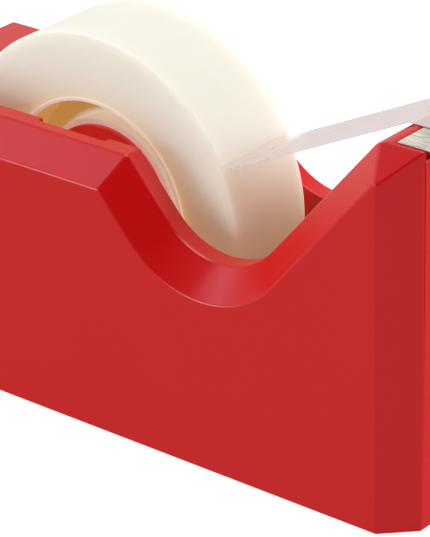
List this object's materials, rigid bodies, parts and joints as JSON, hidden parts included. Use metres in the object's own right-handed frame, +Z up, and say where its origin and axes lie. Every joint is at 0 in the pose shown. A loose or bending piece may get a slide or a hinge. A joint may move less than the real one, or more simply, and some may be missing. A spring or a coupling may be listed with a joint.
{
  "type": "tape dispenser",
  "caption": "Weighted desk dispenser that holds a roll of adhesive tape on a lift-out reel and cuts it on a toothed blade.",
  "frame": {"origin": "middle of the footprint, on the underside of the non-slip pad", "axes": "+X towards the cutter blade, +Y across the dispenser, +Z up"},
  "size_m": [0.1224, 0.0456, 0.07],
  "materials": {
    "housing": "satin moulded ABS",
    "hub": "satin moulded ABS",
    "base_plate": "matte moulded ABS",
    "non_slip_pad": "matte solid rubber",
    "ballast_weight": "as cast",
    "base_screws": "zinc plated",
    "cutter_blade": "brushed",
    "tape_core": "satin moulded polystyrene",
    "tape_roll": "wound film, silky",
    "tape_tail": "single film, translucent"
  },
  "bodies": {
    "base": {"housing": "housing", "base_plate": "base_plate", "base_screws": "base_screws", "non_slip_pad": "non_slip_pad", "ballast_weight": "ballast_weight", "cutter_blade": "cutter_blade"},
    "tail": {"tape_tail": "tape_tail"},
    "reel": {"hub_left": "hub", "hub_right": "hub", "tape_core": "tape_core", "tape_roll": "tape_roll"}
  },
  "joints": [
    {"name": "reel_lift", "type": "slide", "parent": "base", "child": "tail", "axis": [0, 0, 1], "range_m": [0, 0.055]},
    {"name": "reel_spin", "type": "hinge", "parent": "tail", "child": "reel", "pos_m": [-0.0178, 0, 0.0368], "axis": [0, 1, 0], "continuous": true}
  ]
}
